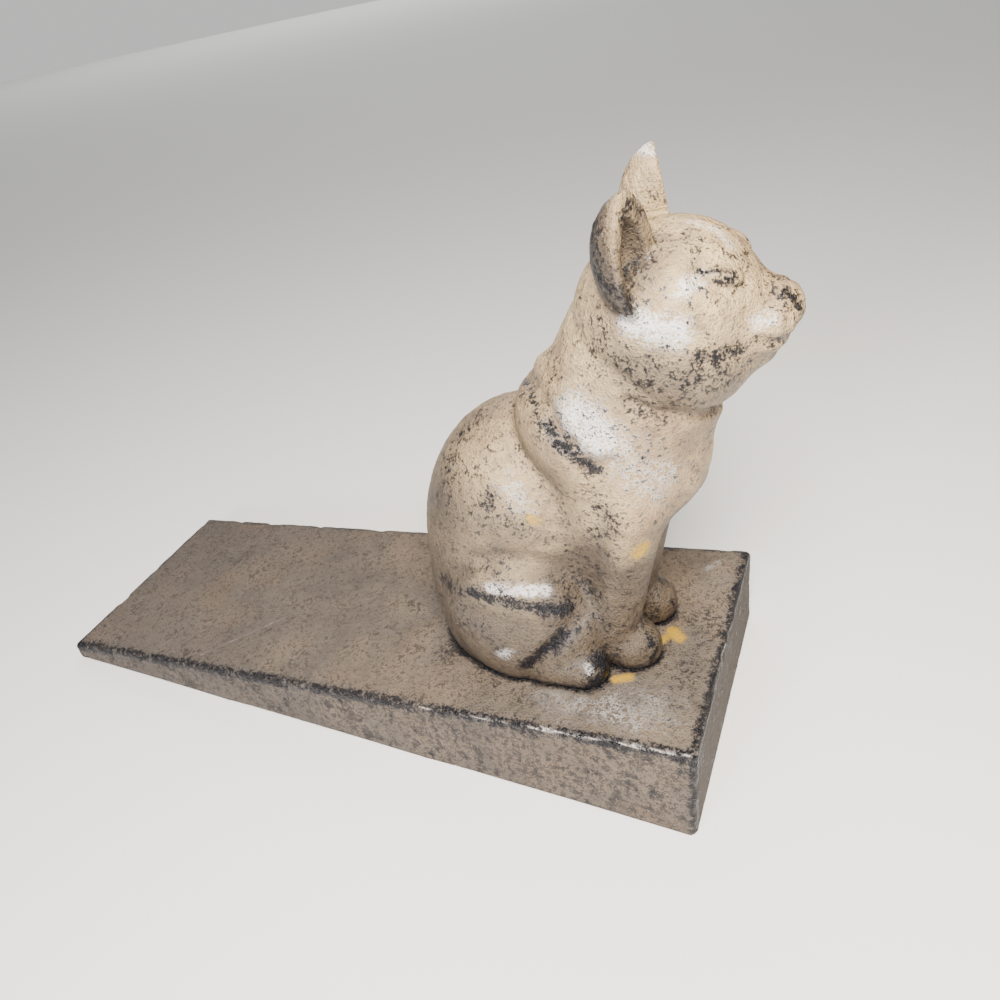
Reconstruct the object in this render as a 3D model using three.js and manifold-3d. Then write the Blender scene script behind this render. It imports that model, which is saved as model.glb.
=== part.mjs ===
// Cast iron doorstop: a seated cat on a plain wedge.
// Millimetres, +Z up. The origin is the centre of the wedge's underside, the wedge
// rises along +X, and the cat faces its thick end.

import * as THREE from 'three';
import { mergeVertices } from 'three/addons/utils/BufferGeometryUtils.js';
import Module from 'manifold-3d';

const wasm = await Module();
wasm.setup();

// The wedge
const WEDGE_LENGTH = 170;
const WEDGE_TOP_WIDTH = 56.6;
const THICK_END_HEIGHT = 21.4;
const THIN_END_HEIGHT = 4.3;
const SIDE_DRAFT_DEG = 6.1; // the sides lean out towards the underside
const EDGE_RADIUS = 1.1; // the worn round of the upper edges
const EDGE_STEPS = 3;

// The seated cat
const CAT_HEIGHT = 92.5; // seat to ear tips, square to the sloping top
const CAT_FROM_CENTRE = 45; // from the middle of the wedge towards its thick end
const SEAT_GAP = 0.3; // the parting line between the cat and the wedge

// Distances between the lines of the net that the cat's skin is drawn from
const NET_COARSE = 2.6;
const NET_FINE = 1.85;
const NET_EAR = 1.4;

// Every size of the cat below is in hundredths of CAT_HEIGHT, in the cat's own axes:
// x forwards up the slope, y to its left, z square to the slope, zero at the seat.
const HUNDREDTH = CAT_HEIGHT / 100;

// Rounded masses: centre, half-sizes and the angle that x is tipped up by.
// The ones in PAIRED stand for the right and the left side.
const TRUNK = {
  rump: { centre: [-0.5, 0, 5], half: [24, 17, 31.5], tip: 0 },
  ribs: { centre: [3.7, 0, 34], half: [21.2, 16.4, 29], tip: -29 },
  chest: { centre: [28, 0, 50], half: [17.2, 12.5, 16], tip: -15 },
  cape: { centre: [24, 0, 57], half: [14.5, 15.4, 11.7], tip: -43 },
  neck: { centre: [35, 0, 66], half: [15.6, 13.4, 21], tip: -24 },
};
const PAIRED = {
  upperArm: { centre: [27.4, 9.1, 45], half: [8.1, 5.4, 15], tip: -14 },
  thigh: { centre: [3.2, 12.2, 13], half: [17.8, 8.6, 20], tip: 14 },
  forepaw: { centre: [24.5, 6.8, 3.7], half: [6.8, 5.5, 6.7], tip: 0 },
};

// Tapering limbs: two ends with their radii
const FORELEG = { from: [29.8, 6.9, 41], to: [21, 6.7, 7.6], radii: [7.4, 5.6] };
const HIND_FOOT = { from: [7.6, 14.4, 3.5], to: [16.4, 14.6, 3.9], radii: [5.2, 5.5] };

// The head, in axes of its own that turn a little to the left and lean to the right
const HEAD_PLACE = [42.4, 0, 75];
const HEAD_TURN_DEG = 2.5;
const HEAD_LEAN_DEG = 4;
const HEAD = {
  skull: { centre: [-1.3, 0, 2.7], half: [15.4, 14.3, 13.5], tip: 15 },
  cheeks: { centre: [1.1, 0, -3.6], half: [12.3, 14.1, 12.1], tip: -20 },
  chin: { centre: [9.8, 0, -5.5], half: [5.7, 5, 3.8], tip: -20 },
};
const NOSE_BRIDGE = { from: [6.5, 0, 1.1], to: [15.6, 0, 0.5], radii: [6.4, 4.4] };
const WHISKER_PAD = { centre: [12.4, 3.1, -1.7], half: [5.9, 3.9, 4.3], tip: 0 };
const EYE = { centre: [9.3, 6.1, 9], half: [3.4, 1.9, 1.8], tip: -25 };
const EYE_SLANT_DEG = -30;

// The ear: the back half of a pointed egg, hollowed from its flat front
const EAR = {
  middle: [-1.3, 10.6, 14.3],
  facingDeg: 18,
  halfWidth: 5.4,
  above: 11,
  below: 9.3,
  depth: 7.4,
  wall: 2,
  splay: 0.03,
};
const EAR_HOLLOW = { forwards: 1, outwards: 0.5, lower: 0.7, rim: 2.8, back: 2.6 }; // its place, walls
const EAR_POINT = 2.4; // how full the sides are below the point
const EAR_BLUNT = 1.5; // how round the point is

// Carved lines: the route, half the width and the depth of each
const CAPE_EDGE = {
  route: [
    [13.5, 0, 66.6], [17.9, 8.2, 67.7], [21.2, 12, 65.5], [23.1, 14.4, 62.1],
    [26.4, 15.5, 58.3], [29.2, 15.4, 55.4], [32, 14.7, 55.1],
  ],
  width: 1.6,
  depth: 1.1,
};
const ARM_HOLLOW = {
  route: [
    [30.3, 14.9, 52.4], [28.9, 15.1, 48.3], [26.7, 15.2, 41.5], [23.4, 13.8, 32.5], [21.1, 13.5, 23.8],
  ],
  width: 3.2,
  depth: 0.8,
};
const THIGH_EDGE = {
  route: [
    [-15.7, 14.1, 20.5], [-9.2, 15.8, 27.6], [-2.3, 16.4, 32], [5.3, 16.5, 33.8],
    [11.2, 15.8, 33], [15.8, 14.5, 30.2], [19, 13.6, 24.9], [19, 14.7, 19.5],
  ],
  width: 2.4,
  depth: 0.9,
};
const THIGH_FOLD = {
  route: [[-5, 20.5, 20.5], [3, 21.5, 20], [10, 21, 19], [15.5, 19, 17.5]],
  width: 2.6,
  depth: 0.8,
};
const FOOT_EDGE = {
  route: [[19, 14.7, 18.9], [15.8, 17.7, 15.8], [12, 19.5, 11.8], [7.2, 20.2, 5.8], [3.8, 20.3, 0.5]],
  width: 1.9,
  depth: 1.5,
};
const JAW_EDGE = {
  route: [[49.5, 0, 58.8], [47, 8, 61.2], [43.8, 10.7, 62.1], [40.3, 12.5, 64], [37, 13.3, 66.6]],
  width: 1.3,
  depth: 1.2,
};
const UPPER_LID = {
  route: [[6.3, 9.3, 10.8], [7.8, 8, 12.1], [9.7, 6.7, 11.7], [11.5, 5.6, 9.9], [12.3, 5.4, 8]],
  width: 1.2,
  depth: 0.7,
};
const LOWER_LID = {
  route: [[6.7, 9.5, 9.9], [9.1, 8.5, 8.5], [11, 7.1, 7.5], [12.3, 5.4, 7.6]],
  width: 1.1,
  depth: 0.5,
};
const MOUTH = {
  route: [[20, 0, -2.8], [17.9, 3.5, -3.2], [15.8, 5.8, -2.8], [13.8, 7.1, -1.5]],
  width: 0.9,
  depth: 0.7,
};

// The tail lies against the cat's left side
const TAIL_ROUTE = [
  [-21, 9, 4.3], [-13.6, 16.4, 4.1], [-4.3, 20.8, 3.9], [5.4, 22.2, 3.7], [13, 21.2, 3.5],
];
const TAIL_ROOT_RADIUS = 4.4;
const TAIL_TIP_RADIUS = 3;

// How softly neighbouring masses run into each other
const SOFT = { trunk: 13, shoulder: 7.6, arm: 6.5, thigh: 3.2, foot: 2.2 };
const FACE_SOFT = { skull: 5.4, muzzle: 3.2, lid: 0.7 };
const EAR_SOFT = { front: 1, hollow: 0.8 };
const FRONT_SOFT_LOW = 7.6;
const FRONT_SOFT_HIGH = 3.2;
const FRONT_SOFT_FROM = 39;
const FRONT_SOFT_TO = 56;
const HEAD_SOFT = 0.8;
const TAIL_SOFT = 3;

// The boxes that the skins of the cat and its ears lie in, and the cat's finer lines
const CAT_BOX = { low: [-29, -26, -5], high: [66, 30, 95] };
const FINE_BOX = { low: [26, -14, 66], high: [66, 14, 95] };
const EAR_BOX = { low: [28, -24, 74], high: [54, 24, 106] };
const UNDER_SEAT = 2; // how far the masses run on below the seat before they are cut

// How a corner of the net is drawn onto the skin: the reach of its slope and its moves
const SLOPE_REACH = 0.05;
const LEAST_SLOPE = 0.5;
const SKIN_MOVES = 2;

const CLEAR_TOP_END = CAT_FROM_CENTRE + CAT_BOX.low[0] * HUNDREDTH; // the top is clear up to here

const DEGREE = Math.PI / 180;
const SLOPE = Math.atan2(THICK_END_HEIGHT - THIN_END_HEIGHT, WEDGE_LENGTH);

function topHeight(x) {
  return THIN_END_HEIGHT + (x + WEDGE_LENGTH / 2) * Math.tan(SLOPE);
}

// Distance fields: negative inside, zero on the skin

function mirrored(p) {
  return [p[0], Math.abs(p[1]), p[2]];
}

function tipped(p, degrees) {
  const c = Math.cos(degrees * DEGREE);
  const s = Math.sin(degrees * DEGREE);
  return [p[0] * c + p[2] * s, p[1], p[2] * c - p[0] * s];
}

function turned(p, degrees) {
  const c = Math.cos(degrees * DEGREE);
  const s = Math.sin(degrees * DEGREE);
  return [p[0] * c + p[1] * s, p[1] * c - p[0] * s, p[2]];
}

function leaned(p, degrees) {
  const c = Math.cos(degrees * DEGREE);
  const s = Math.sin(degrees * DEGREE);
  return [p[0], p[1] * c + p[2] * s, p[2] * c - p[1] * s];
}

function from(p, centre) {
  return [p[0] - centre[0], p[1] - centre[1], p[2] - centre[2]];
}

function mass(p, form) {
  const q = tipped(from(p, form.centre), form.tip);
  const scaled = Math.hypot(q[0] / form.half[0], q[1] / form.half[1], q[2] / form.half[2]);
  const steep = Math.hypot(q[0] / form.half[0] ** 2, q[1] / form.half[1] ** 2, q[2] / form.half[2] ** 2);
  return (scaled * (scaled - 1)) / Math.max(steep, Number.EPSILON);
}

function limb(p, a, b, radiusA, radiusB) {
  const along = from(b, a);
  const q = from(p, a);
  const length2 = along[0] ** 2 + along[1] ** 2 + along[2] ** 2;
  const share = (q[0] * along[0] + q[1] * along[1] + q[2] * along[2]) / length2;
  const t = Math.min(Math.max(share, 0), 1);
  const off = Math.hypot(q[0] - along[0] * t, q[1] - along[1] * t, q[2] - along[2] * t);
  return off - radiusA - (radiusB - radiusA) * t;
}

function taper(p, form) {
  return limb(p, form.from, form.to, form.radii[0], form.radii[1]);
}

function joined(a, b, soft) {
  const near = Math.max(soft - Math.abs(a - b), 0) / soft;
  return Math.min(a, b) - (near ** 3 * soft) / 6;
}

function kept(a, b, soft) {
  return -joined(-a, -b, soft);
}

function carved(distance, p, line) {
  let away = Infinity;
  for (let i = 1; i < line.route.length; i += 1) {
    away = Math.min(away, limb(p, line.route[i - 1], line.route[i], 0, 0));
  }
  return distance + line.depth * Math.exp(-((away / line.width) ** 2));
}

function smoothStep(value, low, high) {
  const t = Math.min(Math.max((value - low) / (high - low), 0), 1);
  return t * t * (3 - 2 * t);
}

function bodyField(p) {
  const m = mirrored(p);
  const back = joined(mass(p, TRUNK.rump), mass(p, TRUNK.ribs), SOFT.trunk);
  let front = joined(mass(p, TRUNK.chest), mass(p, TRUNK.cape), SOFT.shoulder);
  front = joined(front, mass(p, TRUNK.neck), SOFT.shoulder);
  front = joined(front, mass(m, PAIRED.upperArm), SOFT.arm);
  front = joined(front, taper(m, FORELEG), SOFT.arm);
  const high = smoothStep(p[2], FRONT_SOFT_FROM, FRONT_SOFT_TO);
  let body = joined(back, front, FRONT_SOFT_LOW + (FRONT_SOFT_HIGH - FRONT_SOFT_LOW) * high);
  body = joined(body, mass(m, PAIRED.thigh), SOFT.thigh);
  body = joined(body, taper(m, HIND_FOOT), SOFT.foot);
  body = joined(body, mass(m, PAIRED.forepaw), SOFT.foot);
  for (const line of [CAPE_EDGE, ARM_HOLLOW, THIGH_EDGE, THIGH_FOLD, FOOT_EDGE]) {
    body = carved(body, m, line);
  }
  return body;
}

function headField(h) {
  const m = mirrored(h);
  let head = joined(mass(h, HEAD.skull), mass(h, HEAD.cheeks), FACE_SOFT.skull);
  head = joined(head, taper(h, NOSE_BRIDGE), FACE_SOFT.skull);
  head = joined(head, mass(m, WHISKER_PAD), FACE_SOFT.muzzle);
  head = joined(head, mass(h, HEAD.chin), FACE_SOFT.muzzle);
  head = carved(head, m, UPPER_LID);
  head = carved(head, m, LOWER_LID);
  const eye = turned(from(m, EYE.centre), EYE_SLANT_DEG);
  head = joined(head, mass(eye, { centre: [0, 0, 0], half: EYE.half, tip: EYE.tip }), FACE_SOFT.lid);
  return carved(head, m, MOUTH);
}

function leaf(across, forward, up, halfWidth, above, below, depth) {
  const height = up > 0 ? above : below;
  const round = Math.hypot(across / halfWidth, forward / depth) ** EAR_BLUNT;
  const full = round + Math.abs(up / height) ** EAR_POINT;
  return (full - 1) * Math.min(halfWidth, depth);
}

function earField(h) {
  const q = turned(from(mirrored(h), EAR.middle), EAR.facingDeg);
  const forward = q[0] + EAR.splay * q[2];
  const across = q[1] + EAR.splay * q[2];
  const shell = leaf(across, forward, q[2], EAR.halfWidth, EAR.above, EAR.below, EAR.depth);
  const hollow = leaf(
    across - EAR_HOLLOW.outwards,
    forward - EAR_HOLLOW.forwards,
    q[2] + EAR_HOLLOW.lower,
    EAR.halfWidth - EAR.wall,
    EAR.above - EAR_HOLLOW.rim,
    EAR.below - EAR_HOLLOW.rim,
    EAR.depth - EAR_HOLLOW.back,
  );
  return kept(kept(shell, forward, EAR_SOFT.front), -hollow, EAR_SOFT.hollow);
}

function tailField(p) {
  const last = TAIL_ROUTE.length - 1;
  let tail = Infinity;
  for (let i = 0; i < last; i += 1) {
    const thin = (TAIL_ROOT_RADIUS - TAIL_TIP_RADIUS) / last;
    const radius = TAIL_ROOT_RADIUS - thin * i;
    const piece = limb(p, TAIL_ROUTE[i], TAIL_ROUTE[i + 1], radius, radius - thin);
    tail = i === 0 ? piece : joined(tail, piece, TAIL_SOFT);
  }
  return tail;
}

function inHeadAxes(p) {
  return leaned(turned(from(p, HEAD_PLACE), HEAD_TURN_DEG), HEAD_LEAN_DEG);
}

function catField(p) {
  let cat = joined(bodyField(p), headField(inHeadAxes(p)), HEAD_SOFT);
  cat = carved(cat, mirrored(p), JAW_EDGE);
  cat = joined(cat, tailField(p), TAIL_SOFT);
  return Math.max(cat, -UNDER_SEAT - p[2]);
}

// The skin, drawn as a net with one corner in each cell that the skin passes through

function netLines(box, stepAt) {
  return [0, 1, 2].map((axis) => {
    const lines = [box.low[axis]];
    while (lines[lines.length - 1] < box.high[axis]) {
      const here = lines[lines.length - 1];
      lines.push(here + stepAt(here, axis));
    }
    return lines;
  });
}

function catStep(here, axis) {
  return here >= FINE_BOX.low[axis] && here < FINE_BOX.high[axis] ? NET_FINE : NET_COARSE;
}

function slopeOf(field, p) {
  return [0, 1, 2].map((axis) => {
    const ahead = [...p];
    const behind = [...p];
    ahead[axis] += SLOPE_REACH;
    behind[axis] -= SLOPE_REACH;
    return (field(ahead) - field(behind)) / (2 * SLOPE_REACH);
  });
}

function ontoSkin(field, start) {
  let p = start;
  for (let i = 0; i < SKIN_MOVES; i += 1) {
    const g = slopeOf(field, p);
    const move = field(p) / Math.max(g[0] ** 2 + g[1] ** 2 + g[2] ** 2, LEAST_SLOPE ** 2);
    p = p.map((value, axis) => value - g[axis] * move);
  }
  return p;
}

function skinOf(field, lines) {
  const count = lines.map((list) => list.length);
  const index = (i, j, k) => (i * count[1] + j) * count[2] + k;
  const values = new Float64Array(count[0] * count[1] * count[2]);
  for (let i = 0; i < count[0]; i += 1) {
    for (let j = 0; j < count[1]; j += 1) {
      for (let k = 0; k < count[2]; k += 1) {
        values[index(i, j, k)] = field([lines[0][i], lines[1][j], lines[2][k]]);
      }
    }
  }
  const at = (cell) => values[index(cell[0], cell[1], cell[2])];
  const place = (cell) => cell.map((step, axis) => lines[axis][step]);

  const corners = [];
  const known = new Map();
  const cornerOf = (cell) => {
    const key = index(cell[0], cell[1], cell[2]);
    if (known.has(key)) {
      return known.get(key);
    }
    const sum = [0, 0, 0];
    let crossings = 0;
    for (let axis = 0; axis < 3; axis += 1) {
      for (let side = 0; side < 4; side += 1) {
        const low = [...cell];
        low[(axis + 1) % 3] += side & 1;
        low[(axis + 2) % 3] += side >> 1;
        const high = [...low];
        high[axis] += 1;
        if (at(low) < 0 !== at(high) < 0) {
          const share = at(low) / (at(low) - at(high));
          const a = place(low);
          const b = place(high);
          sum.forEach((_, i) => {
            sum[i] += a[i] + (b[i] - a[i]) * share;
          });
          crossings += 1;
        }
      }
    }
    const middle = sum.map((value) => value / crossings);
    const corner = ontoSkin(field, middle);
    corners.push(corner.map((value, i) => {
      const low = lines[i][cell[i]];
      const high = lines[i][cell[i] + 1];
      return THREE.MathUtils.clamp(value, low, high);
    }));
    known.set(key, corners.length - 1);
    return corners.length - 1;
  };

  const faces = [];
  const far = (a, b) => Math.hypot(...from(corners[a], corners[b]));
  for (let axis = 0; axis < 3; axis += 1) {
    const u = (axis + 1) % 3;
    const v = (axis + 2) % 3;
    for (let i = 1; i < count[0] - 1; i += 1) {
      for (let j = 1; j < count[1] - 1; j += 1) {
        for (let k = 1; k < count[2] - 1; k += 1) {
          const low = [i, j, k];
          const high = [i, j, k];
          high[axis] += 1;
          const inside = at(low) < 0;
          if (inside === at(high) < 0) {
            continue;
          }
          const ring = [[-1, -1], [0, -1], [0, 0], [-1, 0]].map(([du, dv]) => {
            const cell = [i, j, k];
            cell[u] += du;
            cell[v] += dv;
            return cornerOf(cell);
          });
          const [a, b, c, d] = inside ? ring : ring.reverse();
          if (far(a, c) < far(b, d)) {
            faces.push(a, b, c, a, c, d);
          } else {
            faces.push(a, b, d, b, c, d);
          }
        }
      }
    }
  }
  return { corners, faces };
}

function solidOf(geometry) {
  const plain = geometry.clone();
  plain.deleteAttribute('normal');
  plain.deleteAttribute('uv');
  const merged = mergeVertices(plain);
  return new wasm.Manifold(new wasm.Mesh({
    numProp: 3,
    vertProperties: Float32Array.from(merged.attributes.position.array),
    triVerts: Uint32Array.from(merged.index.array),
  }));
}

function geometryOf(solid) {
  const mesh = solid.getMesh();
  const geometry = new THREE.BufferGeometry();
  geometry.setAttribute('position', new THREE.BufferAttribute(mesh.vertProperties, 3));
  geometry.setIndex(new THREE.BufferAttribute(mesh.triVerts, 1));
  geometry.computeVertexNormals();
  return geometry;
}

function netGeometry({ corners, faces }, scale) {
  const geometry = new THREE.BufferGeometry();
  const flat = corners.flat().map((value) => value * scale);
  geometry.setAttribute('position', new THREE.Float32BufferAttribute(flat, 3));
  geometry.setIndex(faces);
  return geometry;
}

// The cat is cut flat where it sits on the wedge
function catGeometry() {
  const skin = netGeometry(skinOf(catField, netLines(CAT_BOX, catStep)), HUNDREDTH);
  const earLines = netLines(EAR_BOX, () => NET_EAR);
  const ears = netGeometry(skinOf((p) => earField(inHeadAxes(p)), earLines), HUNDREDTH);
  const whole = solidOf(skin).add(solidOf(ears));
  const block = CAT_HEIGHT;
  const below = new THREE.BoxGeometry(2 * block, 2 * block, block);
  below.translate(0, 0, SEAT_GAP - block / 2);
  return geometryOf(whole.subtract(solidOf(below)));
}

// The wedge: sections across it from end to end, with a round along the upper edges
function wedgeSection(x, drop) {
  const draft = Math.tan(SIDE_DRAFT_DEG * DEGREE);
  const side = WEDGE_TOP_WIDTH / 2 - drop;
  const half = [new THREE.Vector3(x, side + topHeight(x) * draft, 0)];
  for (let i = 0; i <= EDGE_STEPS; i += 1) {
    const turn = (i / EDGE_STEPS) * (Math.PI / 2);
    const below = drop + EDGE_RADIUS * (1 - Math.sin(turn));
    const inwards = EDGE_RADIUS * (1 - Math.cos(turn));
    half.push(new THREE.Vector3(x, side + below * draft - inwards, topHeight(x) - below));
  }
  const other = half.map((point) => new THREE.Vector3(point.x, -point.y, point.z)).reverse();
  return [...half, ...other];
}

// Both ends are rounded over by drawing in their last sections
function wedgeGeometry() {
  const end = WEDGE_LENGTH / 2;
  const thinEnd = [];
  const thickEnd = [];
  for (let i = 0; i <= EDGE_STEPS; i += 1) {
    const turn = (i / EDGE_STEPS) * (Math.PI / 2);
    const inwards = EDGE_RADIUS * (1 - Math.sin(turn));
    const drop = EDGE_RADIUS * (1 - Math.cos(turn));
    thinEnd.unshift(wedgeSection(inwards - end, drop));
    thickEnd.push(wedgeSection(end - inwards, drop));
  }
  const sections = [...thinEnd, wedgeSection(CLEAR_TOP_END, 0), ...thickEnd];
  const around = sections[0].length;
  const faces = [];
  for (let i = 1; i < sections.length; i += 1) {
    for (let j = 0; j < around; j += 1) {
      const a = (i - 1) * around + j;
      const b = (i - 1) * around + ((j + 1) % around);
      faces.push(a, b, b + around, a, b + around, a + around);
    }
  }
  const last = (sections.length - 1) * around;
  for (let j = 1; j < around - 1; j += 1) {
    faces.push(0, j + 1, j, last, last + j, last + j + 1);
  }
  const geometry = new THREE.BufferGeometry().setFromPoints(sections.flat());
  geometry.setIndex(faces);
  return geometry;
}

// Painted cast iron: the cat is dry-brushed tan, the wedge is a darker brown
const catIron = new THREE.MeshStandardMaterial({ color: '#a5937f', roughness: 0.6, metalness: 0.35 });
const wedgeIron = new THREE.MeshStandardMaterial({ color: '#7b6b5c', roughness: 0.7, metalness: 0.3 });

const wedge = new THREE.Mesh(wedgeGeometry(), wedgeIron);
wedge.name = 'wedge_base';

const cat = new THREE.Mesh(catGeometry(), catIron);
cat.name = 'cat_figure';
cat.position.set(CAT_FROM_CENTRE, 0, topHeight(CAT_FROM_CENTRE));
cat.rotation.y = -SLOPE;

const doorstop = new THREE.Group();
doorstop.add(wedge, cat);

export default doorstop;
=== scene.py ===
"""Looks of a cast iron doorstop, a seated cat on a plain wedge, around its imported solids.

The part's frame is in metres: +Z up, the origin at the centre of the wedge's underside, the
wedge rising along +X. The cat's own axes are x forwards up the slope, y to its left and z
square to the slope, in hundredths of its height, with zero at the seat.
"""

import math

import bpy
import numpy as np
from bpy.props import FloatProperty, FloatVectorProperty, PointerProperty
from mathutils import Matrix, Vector


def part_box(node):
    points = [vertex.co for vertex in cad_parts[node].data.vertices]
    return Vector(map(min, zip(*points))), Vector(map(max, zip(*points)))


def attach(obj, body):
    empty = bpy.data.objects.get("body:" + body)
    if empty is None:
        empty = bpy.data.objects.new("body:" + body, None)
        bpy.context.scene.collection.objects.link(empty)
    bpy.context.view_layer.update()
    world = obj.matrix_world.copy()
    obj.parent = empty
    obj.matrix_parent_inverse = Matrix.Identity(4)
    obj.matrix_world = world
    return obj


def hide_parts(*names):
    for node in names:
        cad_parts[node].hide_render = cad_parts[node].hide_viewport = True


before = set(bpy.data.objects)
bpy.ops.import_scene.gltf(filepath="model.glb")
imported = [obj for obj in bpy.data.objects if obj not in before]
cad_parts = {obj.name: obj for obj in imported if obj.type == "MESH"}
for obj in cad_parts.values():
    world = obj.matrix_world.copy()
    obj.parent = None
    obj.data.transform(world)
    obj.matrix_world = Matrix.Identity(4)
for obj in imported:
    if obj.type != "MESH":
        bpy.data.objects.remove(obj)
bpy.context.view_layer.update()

bl_info = {
    "name": "Cast iron cat doorstop",
    "version": (1, 0, 0),
    "blender": (4, 5, 0),
    "location": "View3D > Sidebar > Doorstop",
    "description": "Builds the fine casting, patina and studio of a cast iron cat doorstop",
    "category": "Object",
}

MM = 0.001

# The masses of the cat: centre, half-sizes and the angle that x is tipped up by
RUMP = ((-0.5, 0, 5), (24, 17, 31.5), 0)
RIBS = ((3.7, 0, 34), (21.2, 16.4, 29), -29)
CHEST = ((28, 0, 50), (17.2, 12.5, 16), -15)
CAPE = ((24, 0, 57), (14.5, 15.4, 11.7), -43)
NECK = ((35, 0, 66), (15.6, 13.4, 21), -24)
UPPER_ARM = ((27.4, 9.1, 45), (8.1, 5.4, 15), -14)
THIGH = ((3.2, 12.2, 13), (17.8, 8.6, 20), 14)
FOREPAW = ((24.5, 6.8, 3.7), (6.8, 5.5, 6.7), 0)

# Tapering limbs: two ends with their radii
FORELEG = ((29.8, 6.9, 41), (21, 6.7, 7.6), 7.4, 5.6)
HIND_FOOT = ((7.6, 14.4, 3.5), (16.4, 14.6, 3.9), 5.2, 5.5)

# The head, in axes of its own
HEAD_PLACE = (42.4, 0, 75)
HEAD_TURN = 2.5
HEAD_LEAN = 4
SKULL = ((-1.3, 0, 2.7), (15.4, 14.3, 13.5), 15)
CHEEKS = ((1.1, 0, -3.6), (12.3, 14.1, 12.1), -20)
CHIN = ((9.8, 0, -5.5), (5.7, 5, 3.8), -20)
NOSE_BRIDGE = ((6.5, 0, 1.1), (15.6, 0, 0.5), 6.4, 4.4)
WHISKER_PAD = ((12.4, 3.1, -1.7), (5.9, 3.9, 4.3), 0)
EYE_PLACE = (9.3, 6.1, 9)
EYEBALL = ((0, 0, 0), (3.4, 1.9, 1.8), -25)
EYE_SLANT = -30

# The ear: the back half of a pointed egg, hollowed from its flat front
EAR_PLACE = (-1.3, 10.6, 14.3)
EAR_FACING = 18
EAR_SHELL = (5.4, 11, 9.3, 7.4)
EAR_HOLLOW = (3.4, 8.2, 6.5, 4.8)
EAR_HOLLOW_SHIFT = (1, 0.5, 0.7)
EAR_SPLAY = 0.03
EAR_POINT = 2.4
EAR_BLUNT = 1.5
EAR_FRONT_ROUND = 1
EAR_RIM_ROUND = 0.8

# How softly neighbouring masses run into one another; at the nape the join grows tighter
BACK_BLEND = 13
FRONT_BLEND = 7.6
ARM_BLEND = 6.5
THIGH_BLEND = 3.2
FOOT_BLEND = 2.2
HEAD_BLEND = 5.4
FACE_BLEND = 3.2
EYE_BLEND = 0.7
CREASE_BLEND = 0.8
TAIL_BLEND = 3
NAPE = (39, 56)
NAPE_TIGHTER = 4.4

# Carved lines: route, half the width and the depth of each
CAPE_EDGE = (((13.5, 0, 66.6), (17.9, 8.2, 67.7), (21.2, 12, 65.5), (23.1, 14.4, 62.1),
              (26.4, 15.5, 58.3), (29.2, 15.4, 55.4), (32, 14.7, 55.1)), 1.6, 1.5)
ARM_HOLLOW = (((30.3, 14.9, 52.4), (28.9, 15.1, 48.3), (26.7, 15.2, 41.5), (23.4, 13.8, 32.5),
               (21.1, 13.5, 23.8)), 3.2, 0.8)
THIGH_EDGE = (((-15.7, 14.1, 20.5), (-9.2, 15.8, 27.6), (-2.3, 16.4, 32), (5.3, 16.5, 33.8),
               (11.2, 15.8, 33), (15.8, 14.5, 30.2), (19, 13.6, 24.9), (19, 14.7, 19.5)), 2.4, 0.9)
THIGH_FOLD = (((-5, 20.5, 20.5), (3, 21.5, 20), (10, 21, 19), (15.5, 19, 17.5)), 2.6, 0.8)
FOOT_EDGE = (((19, 14.7, 18.9), (15.8, 17.7, 15.8), (12, 19.5, 11.8), (7.2, 20.2, 5.8),
              (3.8, 20.3, 0.5)), 1.9, 1.5)
JAW_EDGE = (((49.5, 0, 58.8), (47, 8, 61.2), (43.8, 10.7, 62.1), (40.3, 12.5, 64),
             (37, 13.3, 66.6)), 1.2, 1.6)
UPPER_LID = (((6.3, 9.3, 10.8), (7.8, 8, 12.1), (9.7, 6.7, 11.7), (11.5, 5.6, 9.9),
              (12.3, 5.4, 8)), 1.2, 0.7)
LOWER_LID = (((6.7, 9.5, 9.9), (9.1, 8.5, 8.5), (11, 7.1, 7.5), (12.3, 5.4, 7.6)), 1.1, 0.5)
MOUTH = (((20, 0, -2.8), (17.9, 3.5, -3.2), (15.8, 5.8, -2.8), (13.8, 7.1, -1.5)), 0.9, 0.7)

# The tail lies against the cat's left side
TAIL = ((-21, 9, 4.3), (-13.6, 16.4, 4.1), (-4.3, 20.8, 3.9), (5.4, 22.2, 3.7), (13, 21.2, 3.5))
TAIL_ROOT = 4.4
TAIL_TIP = 3

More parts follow.
